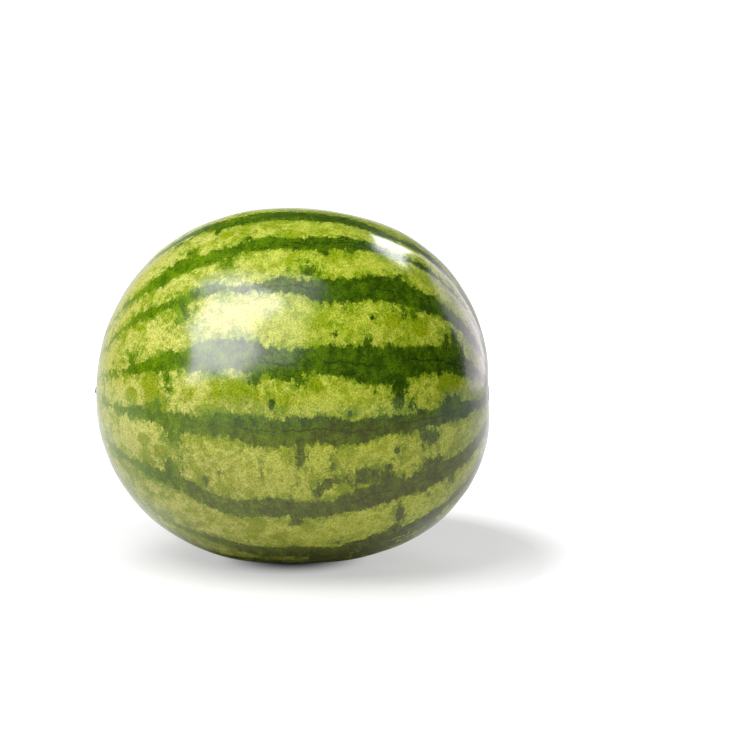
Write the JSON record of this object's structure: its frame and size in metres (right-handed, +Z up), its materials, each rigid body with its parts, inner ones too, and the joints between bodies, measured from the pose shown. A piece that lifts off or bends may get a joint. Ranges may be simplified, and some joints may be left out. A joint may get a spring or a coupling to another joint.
{
  "type": "yellow watermelon",
  "caption": "Whole, uncut striped watermelon of a small yellow-fleshed kind, lying on its side, with a short dry stub of stem at one end.",
  "frame": {"origin": "middle of the small flat spot that the fruit rests on", "axes": "+X runs along the fruit from the stem end to the blossom end, +Z is up, and -Y is the front, the side that the picture shows"},
  "size_m": [0.2208, 0.1974, 0.1964],
  "materials": {
    "rind": "smooth waxy rind, satin to glossy, light yellow-green with jagged dark green stripes",
    "stem": "dry, ridged and dull"
  },
  "bodies": {
    "root": {"fruit": "rind", "stem_stub": "stem"}
  },
  "joints": []
}
